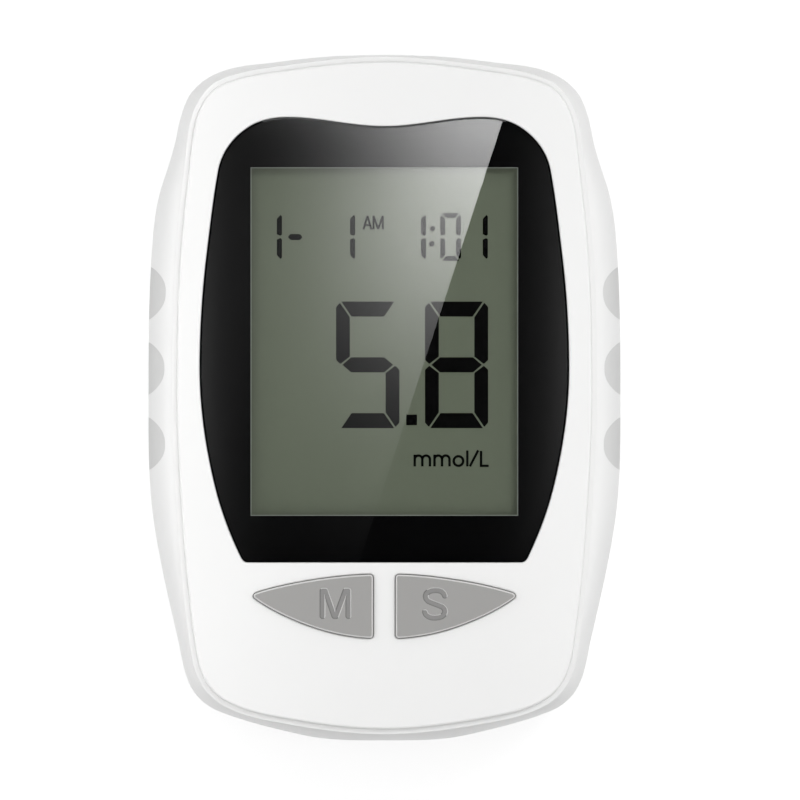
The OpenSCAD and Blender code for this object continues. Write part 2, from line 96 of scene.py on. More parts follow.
CASE_NODES = [(0, -42.5, 0), (10.4, -41.78, 13), (20.5, -38.9, 21.7), (24.05, -35.75, 63.3),
              (25.65, -29.7, 76.7), (28.43, -16.4, 80.8), (29.25, 1.3, 90), (28.8, 18.6, 94.1),
              (27.5, 26.5, 108.3), (25.68, 32.87, 100), (24.58, 36.65, 113), (21.1, 40.03, 154.3),
              (12.7, 41.65, 172), (0, 42.5, 180)]
COVER_NODES = [(0, -41, 0), (11.6, -39.8, 10), (19.8, -37.4, 31), (22.35, -34.6, 64),
               (23.55, -29.6, 82), (24.9, -16.5, 86), (25.65, 1, 90), (25.2, 17.8, 94),
               (24.35, 26.5, 97), (23.7, 32.2, 98), (22.7, 35.85, 117), (20.25, 38.6, 155),
               (11.65, 40.5, 172), (0, 41.5, 180)]
LENS_NODES = [(0, -20.35, 0), (16.9, -20.35, 0), (17.7, -19.75, 64), (20.95, -10.8, 76.5),
              (22.8, 3.6, 90), (21.9, 18, 97), (20.5, 28.1, 100.5), (16.6, 33.5, 149),
              (12, 34.62, 180), (0, 33.48, 180)]
KEY_NODES = [(1.43, -29.32, -90), (1.8, -29.69, 3), (9.57, -28.05, 20.6), (15.76, -24.94, 35),
             (16.12, -24.51, 92), (15.62, -24.1, 163), (6.89, -22.32, 172.6), (1.8, -21.91, 179),
             (1.43, -22.28, 270)]
CASE_STEPS = 12       # points on each curve of the case outlines
FINE_STEPS = 14       # points on each curve of the lens and key outlines


def arm(chord, turn):
    """Length of a control arm that keeps a curve close to an arc."""
    turn = math.radians(abs(turn))
    if turn < 0.02:
        return chord / 3
    return chord * 2 / 3 * math.tan(turn / 4) / math.sin(turn / 2)


def curve(a, b, n):
    """n points from a towards b, without b."""
    p, q = np.array(a[:2], float), np.array(b[:2], float)
    reach = arm(np.hypot(*(q - p)), b[2] - a[2])
    p1 = p + reach * np.array([math.cos(math.radians(a[2])), math.sin(math.radians(a[2]))])
    q1 = q - reach * np.array([math.cos(math.radians(b[2])), math.sin(math.radians(b[2]))])
    t = (np.arange(n) / n)[:, None]
    s = 1 - t
    return s ** 3 * p + 3 * s ** 2 * t * p1 + 3 * s * t ** 2 * q1 + t ** 3 * q


def path(nodes, n):
    parts = [curve(a, b, n) for a, b in zip(nodes[:-1], nodes[1:])]
    return np.vstack(parts + [np.array([nodes[-1][:2]], float)])


def both_halves(half):
    """A right half and its mirror image, as one closed ring."""
    mirror = half[-2:0:-1] * np.array([-1, 1])
    return np.vstack([half, mirror])


def between(a, b, share):
    return a + share * (b - a)


def inset(ring, d):
    """A ring moved inwards by d along its normals."""
    along = np.roll(ring, -1, axis=0) - np.roll(ring, 1, axis=0)
    normal = np.stack([along[:, 1], -along[:, 0]], axis=1)
    normal /= np.linalg.norm(normal, axis=1)[:, None]
    return ring - d * normal


def at(ring, z):
    return np.column_stack([ring, np.full(len(ring), float(z))])


CASE_RING = both_halves(path(CASE_NODES, CASE_STEPS))
COVER_RING = both_halves(path(COVER_NODES, CASE_STEPS))
LENS_RING = both_halves(path(LENS_NODES, FINE_STEPS))
KEY_RING = path(KEY_NODES, FINE_STEPS)


def upper_z(turn):
    return WIDEST_Z + (RIM_Z - WIDEST_Z) * math.sin(math.radians(turn))


def lower_z(turn):
    return WIDEST_Z - (WIDEST_Z - BACK_Z) * math.sin(math.radians(turn))


def back_edge(z):
    u = max(0.0, (BACK_Z + BACK_ROUND - z) / BACK_ROUND)
    return BACK_ROUND * (1 - math.sqrt(max(0.0, 1 - u * u)))


def upper_ring(turn):
    return between(CASE_RING, COVER_RING, 1 - math.cos(math.radians(turn)))


def lower_ring(turn):
    ring = between(CASE_RING, COVER_RING, BACK_DRAW * (1 - math.cos(math.radians(turn))))
    return inset(ring, back_edge(lower_z(turn)))


# ---- Meshes ----

def new_mesh(name, points, faces, scale=MM):
    mesh = bpy.data.meshes.new(name)
    mesh.from_pydata([tuple(float(c) * scale for c in p) for p in points], [],
                     [tuple(int(i) for i in f) for f in faces])
    mesh.validate()
    piece = bpy.data.objects.new(name, mesh)
    bpy.context.scene.collection.objects.link(piece)
    return piece


def loft_data(rings):
    """Points and faces of a closed skin over rings of equal count."""
    n = len(rings[0])
    faces = [tuple(range(n - 1, -1, -1))]
    for j in range(len(rings) - 1):
        for i in range(n):
            a, b = j * n + i, j * n + (i + 1) % n
            faces.append((a, b, b + n, a + n))
    last = (len(rings) - 1) * n
    faces.append(tuple(range(last, last + n)))
    return np.vstack(rings), faces


def loft(name, rings):
    return new_mesh(name, *loft_data(rings))


def merged(name, parts):
    """One object that holds several closed shapes."""
    points, faces, start = [], [], 0
    for part_points, part_faces in parts:
        points.append(part_points)
        faces += [tuple(start + i for i in f) for f in part_faces]
        start += len(part_points)
    return new_mesh(name, np.vstack(points), faces)


def prism_data(ring, z):
    return loft_data([at(ring, z[0]), at(ring, z[1])])


def box_data(x, y, z):
    ring = np.array([(x[0], y[0]), (x[1], y[0]), (x[1], y[1]), (x[0], y[1])], float)
    return prism_data(ring, z)


def slab_data(half_w, y, z):
    return box_data((-half_w, half_w), y, z)


def turned_data(profile, centre, sides=64):
    """A closed shape turned about an upright axis from [radius, z] points, bottom to top."""
    angle = np.arange(sides) * 2 * math.pi / sides
    circle = np.stack([np.cos(angle), np.sin(angle)], axis=1)
    return loft_data([at(circle * r + np.array(centre), z) for r, z in profile])


def round_bar_data(half_w, mid_z, radius, y, lip=0.0):
    """A level bar with round ends that runs along Y, flared by lip at its far end."""
    def ring(r, y_at):
        turns = np.linspace(-math.pi / 2, math.pi / 2, 17)
        right = [(half_w - radius + r * math.cos(a), mid_z + r * math.sin(a)) for a in turns]
        left = [(-x, 2 * mid_z - z) for x, z in right]
        return np.array([(x, y_at, z) for x, z in right + left])
    rings = [ring(radius, y[1]), ring(radius, y[0])]
    if lip:
        rings = [ring(radius + lip + 1, y[1] + 1), ring(radius + lip, y[1])]
        rings += [ring(radius + lip * (1 - math.sin(a)), y[1] - lip * (1 - math.cos(a)))
                  for a in np.linspace(0.2, math.pi / 2, 5)]
        rings.append(ring(radius, y[0]))
    return loft_data(rings)


def mirrored(data):
    points, faces = data
    return points * np.array([-1, 1, 1]), [tuple(reversed(f)) for f in faces]


def at_four(places, make):
    """Shapes at [x, y] places and at their mirror images in x."""
    return [make((side * x, y)) for x, y in places for side in (-1, 1)]


def applied(piece):
    """Gives a piece the mesh that its modifiers make."""
    depsgraph = bpy.context.evaluated_depsgraph_get()
    mesh = bpy.data.meshes.new_from_object(piece.evaluated_get(depsgraph))
    old = piece.data
    piece.modifiers.clear()
    piece.data = mesh
    bpy.data.meshes.remove(old)
    mesh.name = piece.name
    return piece


def boolean(piece, operation, *tools):
    """Joins tools to a piece or cuts them from it, and removes them."""
    for tool in tools:
        step = piece.modifiers.new("step", "BOOLEAN")
        step.operation = operation
        step.solver = "MANIFOLD"
        step.object = tool
    applied(piece)
    for tool in tools:
        shape = tool.data
        bpy.data.objects.remove(tool)
        bpy.data.meshes.remove(shape)
    return piece


def smooth(piece, degrees=35):
    """Smooth shading that keeps sharp edges sharp and large flat faces flat."""
    mesh = piece.data
    mesh.polygons.foreach_set("use_smooth", [True] * len(mesh.polygons))
    mesh.set_sharp_from_angle(angle=math.radians(degrees))
    weigh = piece.modifiers.new("weigh", "WEIGHTED_NORMAL")
    weigh.keep_sharp = True
    weigh.weight = 100
    weigh.thresh = 0.05
    return applied(piece)


# ---- Materials ----

class Graph:
    """A node material that starts from one Principled shader."""

    def __init__(self, name, color, roughness, metallic=0.0, **sockets):
        self.material = bpy.data.materials.new(name)
        self.material.use_nodes = True
        self.tree = self.material.node_tree
        self.shader = self.tree.nodes["Principled BSDF"]
        self.shader.inputs["Base Color"].default_value = (*color, 1)
        self.shader.inputs["Roughness"].default_value = roughness
        self.shader.inputs["Metallic"].default_value = metallic
        for socket, value in sockets.items():
            self.shader.inputs[socket.replace("_", " ")].default_value = value
        self.color = color
        self.place = self.tree.nodes.new("ShaderNodeTexCoord").outputs["Object"]

    def link(self, a, b):
        self.tree.links.new(a, b)

    def noise(self, size_mm, detail=2.0, rough=0.5):
        node = self.tree.nodes.new("ShaderNodeTexNoise")
        node.inputs["Scale"].default_value = 1 / (size_mm * MM)
        node.inputs["Detail"].default_value = detail
        node.inputs["Roughness"].default_value = rough
        self.link(self.place, node.inputs["Vector"])
        return node.outputs["Fac"]

    def cells(self, size_mm):
        node = self.tree.nodes.new("ShaderNodeTexVoronoi")
        node.inputs["Scale"].default_value = 1 / (size_mm * MM)
        self.link(self.place, node.inputs["Vector"])
        return node.outputs["Distance"]

    def vary_color(self, fac, low, high):
        """Base colour swings between low and high shares of itself."""
        mix = self.tree.nodes.new("ShaderNodeMix")
        mix.data_type = "RGBA"
        mix.inputs["A"].default_value = (*[c * low for c in self.color], 1)
        mix.inputs["B"].default_value = (*[min(1, c * high) for c in self.color], 1)
        self.link(fac, mix.inputs["Factor"])
        self.link(mix.outputs["Result"], self.shader.inputs["Base Color"])
        return self

    def vary_roughness(self, fac, low, high):
        span = self.tree.nodes.new("ShaderNodeMapRange")
        span.inputs["To Min"].default_value = low
        span.inputs["To Max"].default_value = high
        self.link(fac, span.inputs["Value"])
        self.link(span.outputs["Result"], self.shader.inputs["Roughness"])
        return self

    def bump(self, fac, height_mm, strength=1.0):
        node = self.tree.nodes.new("ShaderNodeBump")
        node.inputs["Distance"].default_value = height_mm * MM
        node.inputs["Strength"].default_value = strength
        self.link(fac, node.inputs["Height"])
        self.link(node.outputs["Normal"], self.shader.inputs["Normal"])
        return self


def moulded(name, color, roughness, grain_mm=0.18, height_mm=0.0015, **sockets):
    """Moulded plastic: faint cloudiness, sheen that wanders a little, a fine spark-eroded grain."""
    g = Graph(name, color, roughness, **sockets)
    g.vary_color(g.noise(14, 3), 0.985, 1.012)
    g.vary_roughness(g.noise(5, 3), roughness - 0.04, roughness + 0.04)
    g.bump(g.noise(grain_mm, 2), height_mm)
    return g.material


def soft_rubber(name, color, roughness, grain_mm=0.35, height_mm=0.012):
    g = Graph(name, color, roughness)
    g.vary_color(g.noise(2.5, 4), 0.95, 1.04)
    g.vary_roughness(g.noise(0.8, 2), roughness - 0.06, roughness + 0.05)
    g.bump(g.cells(grain_mm), height_mm)
    return g.material


def brushed_metal(name, color, roughness):
    g = Graph(name, color, roughness, metallic=1.0)
    g.vary_color(g.noise(1.2, 3), 0.9, 1.05)
    g.vary_roughness(g.noise(0.3, 4, 0.7), roughness - 0.08, roughness + 0.1)
    g.bump(g.noise(0.12, 3), 0.002)
    return g.material


WHITE = (0.885, 0.885, 0.88)
white_plastic = moulded("white_plastic", WHITE, 0.34, Specular_IOR_Level=0.35)
key_plastic = moulded("key_plastic", (0.342, 0.337, 0.329), 0.5, 0.12, 0.002)
# Lighter plastic for the keys' rounded top edges and the letter walls facing the lower left: a painted
# highlight.
painted_key_highlight = moulded("painted_key_highlight", (0.62, 0.615, 0.61), 0.4, 0.12, 0.001)
letter_paint = moulded("letter_paint", (0.255, 0.252, 0.248), 0.6, 0.1, 0.002)
# Darker plastic for the letter walls facing away from the lower left: painted shade.
painted_letter_shade = moulded("painted_letter_shade", (0.19, 0.188, 0.185), 0.6, 0.1, 0.002)
grip_rubber = soft_rubber("grip_rubber", (0.70, 0.70, 0.695), 0.6, 0.3, 0.006)
foot_rubber = soft_rubber("foot_rubber", (0.06, 0.06, 0.062), 0.7)
black_print = moulded("black_print", (0.003, 0.003, 0.0032), 0.5, 0.1, 0.0005, Specular_IOR_Level=0.0)
# Pale green-grey for the thin line round the display: a painted highlight for the print's lit cut edge.
painted_edge_highlight = moulded("painted_edge_highlight", (0.30, 0.33, 0.29), 0.5, 0.1, 0.0005)
segment_ink = moulded("segment_ink", (0.004, 0.004, 0.004), 0.6, 0.1, 0.0005, Specular_IOR_Level=0.0)
lcd_film = moulded("lcd_film", (0.151, 0.174, 0.127), 0.6, 0.08, 0.0004, Specular_IOR_Level=0.05,
                   Coat_Weight=1.0, Coat_Roughness=0.0, Coat_IOR=1.63)
holder_plastic = moulded("holder_plastic", (0.75, 0.75, 0.73), 0.45)
zebra_rubber = soft_rubber("zebra_rubber", (0.03, 0.03, 0.032), 0.6, 0.1, 0.003)
chip_package = moulded("chip_package", (0.02, 0.02, 0.022), 0.55, 0.15, 0.004)
ceramic = moulded("ceramic", (0.45, 0.36, 0.24), 0.45, 0.3, 0.003)
connector_plastic = moulded("connector_plastic", (0.72, 0.69, 0.60), 0.45)
dark_plastic = moulded("dark_plastic", (0.03, 0.03, 0.03), 0.5)
adhesive = soft_rubber("adhesive", (0.02, 0.02, 0.02), 0.8, 0.2, 0.004)
steel = brushed_metal("steel", (0.62, 0.62, 0.63), 0.32)
gold = brushed_metal("gold", (0.83, 0.62, 0.25), 0.25)


def board_material():
    """Green solder mask over faint copper tracks."""
    g = Graph("circuit_board", (0.02, 0.14, 0.05), 0.35)
    tracks = g.tree.nodes.new("ShaderNodeTexBrick")
    tracks.inputs["Scale"].default_value = 1 / (9 * MM)
    tracks.inputs["Color1"].default_value = (0.02, 0.14, 0.05, 1)
    tracks.inputs["Color2"].default_value = (0.025, 0.17, 0.06, 1)
    tracks.inputs["Mortar"].default_value = (0.05, 0.25, 0.09, 1)
    tracks.inputs["Mortar Size"].default_value = 0.03
    g.link(g.place, tracks.inputs["Vector"])
    g.link(tracks.outputs["Color"], g.shader.inputs["Base Color"])
    g.bump(g.noise(0.3, 2), 0.004)
    return g.material


def clear_material(name, color, roughness, **sockets):
    g = Graph(name, color, roughness, Transmission_Weight=1.0, IOR=1.49, **sockets)
    g.bump(g.noise(25, 1), 0.0003)
    return g.material


circuit_board = board_material()
clear_acrylic = clear_material("clear_acrylic", (1, 1, 1), 0.0)
cell_glass = clear_material("cell_glass", (0.92, 0.96, 0.93), 0.02)


def dress(piece, *materials):
    piece.data.materials.clear()
    for material in materials:
        piece.data.materials.append(material)
    return piece


def seat(piece, body, slot, *replaced):
    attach(piece, body)
    if replaced:
        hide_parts(*replaced)
    return piece


# ---- Rear case ----

LOWER_TURNS = (90, 86, 82, 78, 73, 68, 62, 55, 47, 38, 29, 20, 10, 0)
UPPER_TURNS = (8, 16, 24, 32, 40, 48, 55, 62, 68, 74, 80, 85)
LIP_WIDE, LIP_DEEP = 0.6, 0.07    # the rim slopes down gently to its inner edge
SEAM = 0.01           # what shows of the gap between rim and cover


def tub():
    groove = inset(COVER_RING, -SEAM)
    rings = [at(lower_ring(a), lower_z(a)) for a in LOWER_TURNS]
    rings += [at(upper_ring(a), upper_z(a)) for a in UPPER_TURNS]
    rings += [at(inset(groove, -LIP_WIDE * (1 - math.sin(a))), RIM_Z - LIP_DEEP * (1 - math.cos(a)))
              for a in np.linspace(0, math.pi / 2, 7)]
    rings += [at(groove, LEDGE_Z), at(inset(COVER_RING, LEDGE_W), LEDGE_Z),
              at(inset(upper_ring(26), WALL), LEDGE_Z - 2.4), at(inset(CASE_RING, WALL), WIDEST_Z),
              at(inset(lower_ring(34), WALL), lower_z(34)), at(inset(lower_ring(64), WALL), FLOOR_Z)]
    return loft("rear_case_shell", rings)


def bay_spaces():
    """What the battery bay leaves open."""
    g = DOOR_GAP
    far = -60
    cell = turned_data([(CELL_R + 0.25, -2), (CELL_R + 0.25, BAY_ROOF[0])], (0, CELL_Y), 96)
    return [slab_data(DOOR_W / 2 + g, (far, DOOR_FRONT + g), (-1, FLOOR_Z + 0.1)),
            slab_data(DOOR_WIDE + g, (far, DOOR_END + g), (-1, DOOR_TOP + g)),
            slab_data(TONGUE_X[1] + 0.2, (far, DOOR_FRONT + g), (FLOOR_Z, TONGUE_Z[1] + g)),
            cell,
            slab_data(7, (BAY_Y[0] - 1, CELL_Y), (FLOOR_Z, BAY_ROOF[0])),
            slab_data(2.5, (-26.5, -15.5), (5, 10)),
            slab_data(2.5, (-12.7, -10.9), (FLOOR_Z + 1, 10))]


def flank_layer(outside):
    """Layer of the right flank, from outside its surface to GRIP_T inside it."""
    first, last = 5 * CASE_STEPS, 8 * CASE_STEPS

    def band(ring):
        outer, inner = inset(ring, -outside), inset(ring, GRIP_T)
        return np.vstack([outer[first:last + 1], inner[first:last + 1][::-1]])

    rings = [at(band(lower_ring(a)), lower_z(a)) for a in LOWER_TURNS[5:]]
    rings += [at(band(upper_ring(a)), upper_z(a)) for a in UPPER_TURNS]
    return loft_data(rings)


def grip_bars():
    """Three upright pads that run across the right flank, as superellipses from the side."""
    shapes = []
    for k in (-1, 0, 1):
        ring = []
        for t in np.linspace(0, 2 * math.pi, 97)[:-1]:
            c, d = math.cos(t), math.sin(t)
            reach = GRIP_TOP - WIDEST_Z if d > 0 else WIDEST_Z - GRIP_LOW
            y = math.copysign(abs(c) ** (2 / GRIP_SQUARE), c) * GRIP_W / 2
            z = math.copysign(abs(d) ** (2 / GRIP_SQUARE), d) * reach
            ring.append((y + GRIP_Y + k * GRIP_PITCH, WIDEST_Z + z))
        shapes.append(loft_data([np.array([(x, y, z) for y, z in ring]) for x in (15, 45)]))
    return shapes


def grips(name, outside, flip):
    layer, bars = flank_layer(outside), grip_bars()
    if flip:
        layer, bars = mirrored(layer), [mirrored(b) for b in bars]
    return boolean(merged(name, [layer]), "INTERSECT", merged("bars", bars))


def rear_case():
    shell = tub()
    posts = at_four(CASE_SCREWS, lambda c: turned_data([(POST_R, BACK_Z + 1), (POST_R, POST_TOP)], c))
    ribs = [slab_data(20, (y, y + 1), (FLOOR_Z - 0.4, FLOOR_Z + 1.4)) for y in (2, 22)]
    block = slab_data(BAY_HALF, BAY_Y, (FLOOR_Z - 0.4, BAY_ROOF[1]))
    boolean(shell, "UNION", merged("inside", posts + ribs + [block]))
    for space in bay_spaces():
        boolean(shell, "DIFFERENCE", merged("space", [space]))
    wells = at_four(CASE_SCREWS, lambda c: turned_data(
        [(2.45, -1), (2.45, BACK_Z - 0.05), (2.1, BACK_Z + 0.25), (2.1, HEAD_SEAT), (1.15, HEAD_SEAT + EPS),
         (1.15, 10)], c))
    seats = at_four(FEET, lambda c: turned_data(
        [(FOOT_R + 0.3, -1), (FOOT_R + 0.3, BACK_Z - 0.02), (FOOT_R + 0.1, BACK_Z + 0.15),
         (FOOT_R + 0.1, FOOT_SEAT)], c))
    port = round_bar_data(PORT_HALF, sum(PORT_Z) / 2, (PORT_Z[1] - PORT_Z[0]) / 2, (38, 41.9), 0.8)
    boolean(shell, "DIFFERENCE", merged("wells", wells + seats), merged("port", [port]),
            grips("seat_right", 0.5, False), grips("seat_left", 0.5, True))
    smooth(shell, 30)
    return seat(dress(shell, white_plastic), "housing", "white_plastic", "rear_case")


rear_case()


def grip_pads(name, flip):
    pads = grips(name, 0, flip)
    node = name.replace("_inlays", "_pads")
    return seat(dress(smooth(pads, 30), grip_rubber), "housing", "grip_rubber", node)


grip_pads("right_grip_inlays", False)
grip_pads("left_grip_inlays", True)


# ---- Battery door ----

def battery_door():
    count = len(CASE_RING)
    reach = 2 * CASE_STEPS
    plate_end = -36.0
    near = np.arange(-reach, reach + 1) % count

    def band(ring):
        corners = np.array([(ring[reach][0], plate_end), (-ring[reach][0], plate_end)])
        return np.vstack([ring[near], corners])

    turns = [a for a in LOWER_TURNS if a >= 20]
    end = loft("battery_door_shell", [at(band(lower_ring(a)), lower_z(a)) for a in turns])
    boolean(end, "INTERSECT", merged("outline", [box_data(
        (-DOOR_WIDE, DOOR_WIDE), (-60, plate_end + 0.5), (0, DOOR_TOP))]))
    for side in (-1, 1):
        notch = (DOOR_W / 2, 20) if side > 0 else (-20, -DOOR_W / 2)
        boolean(end, "DIFFERENCE", merged("notch", [box_data(notch, (DOOR_END, -30), (-1, 9))]))
    boolean(end, "DIFFERENCE", merged("inside", [slab_data(30, (-40.3, -30), (BACK_Z + DOOR_T, 9))]))
    boolean(end, "UNION", merged("plate", [slab_data(
        DOOR_W / 2, (plate_end - 0.5, DOOR_FRONT), (BACK_Z, BACK_Z + DOOR_T))]))
    for side in (-1, 1):
        x = sorted((side * TONGUE_X[0], side * TONGUE_X[1]))
        web = sorted((side * TONGUE_X[0], side * DOOR_W / 2))
        boolean(end, "UNION", merged("web", [box_data(web, (-38.5, -11), (BACK_Z + DOOR_T - 0.2, 2.9))]))
        boolean(end, "UNION", merged("tongue", [box_data(x, (-38.5, -11), TONGUE_Z)]))
    treads = []
    for k in range(6):
        y = -31.7 + 1.5 * k
        depths = [(0.36, BACK_Z - 1), (0.36, BACK_Z), (0.22, BACK_Z + 0.22), (0.1, BACK_Z + 0.3)]
        treads.append(loft_data([
            at(np.array([(-5.7 - w, y - w), (5.7 + w, y - w), (5.7 + w, y + w), (-5.7 - w, y + w)]), z)
            for w, z in depths]))
    boolean(end, "DIFFERENCE", merged("treads", treads))
    smooth(end, 30)
    return seat(dress(end, white_plastic), "battery_door", "white_plastic", "battery_door")


battery_door()


# ---- Feet and screws ----

def rubber_feet():
    profile = [(FOOT_R - 0.55, 0), (FOOT_R - 0.35, 0.03), (FOOT_R - 0.15, 0.12), (FOOT_R - 0.04, 0.27),
               (FOOT_R, 0.45), (FOOT_R, FOOT_SEAT)]
    feet = merged("round_feet", at_four(FEET, lambda c: turned_data(profile, c, 72)))
    return seat(dress(smooth(feet, 40), foot_rubber), "housing", "foot_rubber", "rubber_feet")


def case_screws():
    """Pan-head screws with a cross recess."""
    low = HEAD_SEAT - 1.5
    profile = [(1.1, low), (1.5, low + 0.12), (1.72, low + 0.35), (1.8, low + 0.65), (1.8, HEAD_SEAT),
               (0.9, HEAD_SEAT + EPS), (0.9, 12)]
    screws = merged("pan_head_screws", at_four(CASE_SCREWS, lambda c: turned_data(profile, c, 48)))
    arms = []
    for c in ((s * x, y) for x, y in CASE_SCREWS for s in (-1, 1)):
        arms.append(box_data((c[0] - 0.95, c[0] + 0.95), (c[1] - 0.2, c[1] + 0.2), (low - 1, low + 0.9)))
    boolean(screws, "DIFFERENCE", merged("slots", arms))
    arms = [box_data((s * x - 0.2, s * x + 0.2), (y - 0.95, y + 0.95), (low - 1, low + 0.9))
            for x, y in CASE_SCREWS for s in (-1, 1)]
    boolean(screws, "DIFFERENCE", merged("slots", arms))
    return seat(dress(smooth(screws, 35), steel), "housing", "screw_steel", "case_screws")


rubber_feet()
case_screws()


# ---- Front cover ----

def flared(ring, gap, lip, low):
    """A cutter for an opening in the face, with a rounded lip that widens towards the top."""
    rings = [at(inset(ring, -gap), low)]
    rings += [at(inset(ring, -gap - lip * (1 - math.cos(a))), FACE_Z - lip * (1 - math.sin(a)) * 0.7)
              for a in np.linspace(0, math.pi / 2, 6)]
    rings.append(at(inset(ring, -gap - lip), FACE_Z + 2))
    return loft_data(rings)


def front_cover():
    edge_round = COVER_ROUND * 0.6
    edge = [at(inset(COVER_RING, edge_round * (1 - math.cos(a))), FACE_Z - edge_round * (1 - math.sin(a)))
            for a in np.linspace(0, math.pi / 2, 9)]
    under = FACE_Z - COVER_T
    rings = [at(inset(COVER_RING, 2.1), under), at(inset(COVER_RING, 2), LEDGE_Z - 1.3),
             at(inset(COVER_RING, 1.1), LEDGE_Z - 1.3), at(inset(COVER_RING, 1), LEDGE_Z),
             at(COVER_RING, LEDGE_Z)] + edge
    cover = loft("front_cover_shell", rings)
    seat_z = FACE_Z - LENS_DROP - LENS_T - 0.3
    boolean(cover, "UNION", merged("frame", [prism_data(inset(LENS_RING, -0.7), (15.2, under + 0.2))]))
    bosses = at_four(CASE_SCREWS, lambda c: turned_data(
        [(BOSS_R, POST_TOP + 0.1), (BOSS_R, under + 0.1)], c))
    boolean(cover, "UNION", merged("bosses", bosses))
    chamfer = [at(inset(LENS_RING, -0.05), seat_z), at(inset(LENS_RING, -0.05), FACE_Z - 0.3),
               at(inset(LENS_RING, -0.06), FACE_Z - 0.12), at(inset(LENS_RING, -0.12), FACE_Z - 0.04),
               at(inset(LENS_RING, -0.2), FACE_Z + 0.01), at(inset(LENS_RING, -0.2), FACE_Z + 2)]
    view_y = (VIEW_Y - VIEW_H / 2 - 0.75, VIEW_Y + VIEW_H / 2 + 0.75)
    boolean(cover, "DIFFERENCE", merged("recess", [loft_data(chamfer)]),
            merged("view", [slab_data(VIEW_W / 2 + 0.75, view_y, (14, 20))]))
    key = flared(KEY_RING, KEY_GAP - 0.05, 0.22, 14)
    boolean(cover, "DIFFERENCE", merged("keys", [key, mirrored(key)]))
    bores = at_four(CASE_SCREWS, lambda c: turned_data([(0.95, 0), (0.95, 14)], c, 32))
    boolean(cover, "DIFFERENCE", merged("bores", bores))
    smooth(cover, 30)
    return seat(dress(cover, white_plastic), "housing", "white_plastic", "front_cover")


front_cover()


# ---- Window ----

BORDER_Z = FACE_Z - LENS_DROP - LENS_T
VIEW_SPAN = (VIEW_Y - VIEW_H / 2, VIEW_Y + VIEW_H / 2)


def window_lens():
    top = FACE_Z - LENS_DROP
    lens = loft("clear_window", [
        at(LENS_RING, BORDER_Z + 0.02), at(LENS_RING, top - 0.08), at(inset(LENS_RING, 0.2), top)])
    lens.visible_shadow = False
    smooth(lens, 15)
    dress(lens, clear_acrylic, black_print)
    for face in lens.data.polygons:
        n = face.normal
        wavy_bevel = n.z > 0.3 and n.y > 0.9 * math.hypot(n.x, n.y) and abs(face.center.x) < 15 * MM
        face.material_index = 0 if abs(n.z) > 0.98 or wavy_bevel else 1
    return seat(lens, "housing", "clear_lens", "window_lens")


def window_border():
    """Black print on the back of the window, open over the display."""
    border = merged("printed_border", [prism_data(inset(LENS_RING, 0.01), (BORDER_Z - 0.1, BORDER_Z))])
    boolean(border, "DIFFERENCE", merged("view", [slab_data(VIEW_W / 2, VIEW_SPAN, (14, 20))]))
    return seat(dress(border, black_print), "housing", "black_print", "window_border")


def display_edge():
    """Thin pale line where the print ends round the display, a painted highlight for the print's lit cut
    edge.
    """
    wide = 0.1
    z = (BORDER_Z - 0.14, BORDER_Z - 0.1)
    edge = merged("display_edge", [slab_data(VIEW_W / 2, VIEW_SPAN, z)])
    hole = slab_data(VIEW_W / 2 - wide, (VIEW_SPAN[0] + wide, VIEW_SPAN[1] - wide), (14, 20))
    boolean(edge, "DIFFERENCE", merged("hole", [hole]))
    return seat(dress(edge, painted_edge_highlight), "housing", "polariser_film")


window_lens()
window_border()
display_edge()


# ---- Display ----

PX = CASE_LEN / 687           # millimetres in one pixel of the photograph
CENTRE_PX = (384.4, 397.5)    # the middle of the case in the photograph
FILM_TOP = 15.2               # upper side of the front polariser
INK = 0.02                    # thickness of the shapes on the display


def on_display(x, y):
    """Millimetres from a pixel of the photograph."""
    return (x - CENTRE_PX[0]) * PX, (CENTRE_PX[1] - y) * PX


def flat_shape(points_px):
    ring = np.array([on_display(x, y) for x, y in points_px])
    area = np.sum(ring[:, 0] * np.roll(ring[:, 1], -1) - np.roll(ring[:, 0], -1) * ring[:, 1])
    if area < 0:
        ring = ring[::-1]
    return prism_data(ring, (FILM_TOP, FILM_TOP + INK))


def upright(x, y, w, h, tx, ty, right, low, gap):
    """One upright bar of a seven-bar figure, whose corner is at pixel x, y."""
    mid = h / 2
    bar = [(0, 0.37 * ty + gap), (0.28 * tx, 0.08 * ty + gap), (tx, 1.05 * ty + gap / 2),
           (tx, mid - 0.55 * ty), (0.31 * tx, mid - 0.06 * ty - gap / 2), (0, mid - 0.33 * ty - gap / 2)]
    return [(x + (w - u if right else u), y + (h - v if low else v)) for u, v in bar]


def level(x, y, w, h, tx, ty, low):
    bar = [(0.38 * tx, 0), (w - 0.38 * tx, 0), (w - 1.12 * tx, ty), (1.12 * tx, ty)]
    return [(x + u, y + (h - v if low else v)) for u, v in bar]


def middle(x, y, w, h, tx, ty):
    mid = h / 2
    return [(x + 0.46 * tx, y + mid), (x + 1.09 * tx, y + mid - 0.5 * ty),
            (x + w - 1.09 * tx, y + mid - 0.5 * ty), (x + w - 0.46 * tx, y + mid),
            (x + w - 1.09 * tx, y + mid + 0.5 * ty), (x + 1.09 * tx, y + mid + 0.5 * ty)]


def figure(bars, x, y, w, h, tx, ty, gap=0.0):
    """A seven-bar figure. Bars are named a to g, clockwise from the top, with g in the middle."""
    makers = {"a": lambda: level(x, y, w, h, tx, ty, False), "d": lambda: level(x, y, w, h, tx, ty, True),
              "b": lambda: upright(x, y, w, h, tx, ty, True, False, gap),
              "c": lambda: upright(x, y, w, h, tx, ty, True, True, gap),
              "e": lambda: upright(x, y, w, h, tx, ty, False, True, gap),
              "f": lambda: upright(x, y, w, h, tx, ty, False, False, gap),
              "g": lambda: middle(x, y, w, h, tx, ty)}
    return [flat_shape(makers[b]()) for b in bars]


def disc(x, y, r):
    return flat_shape([(x + r * math.cos(a), y + r * math.sin(a)) for a in np.arange(24) * math.pi / 12])


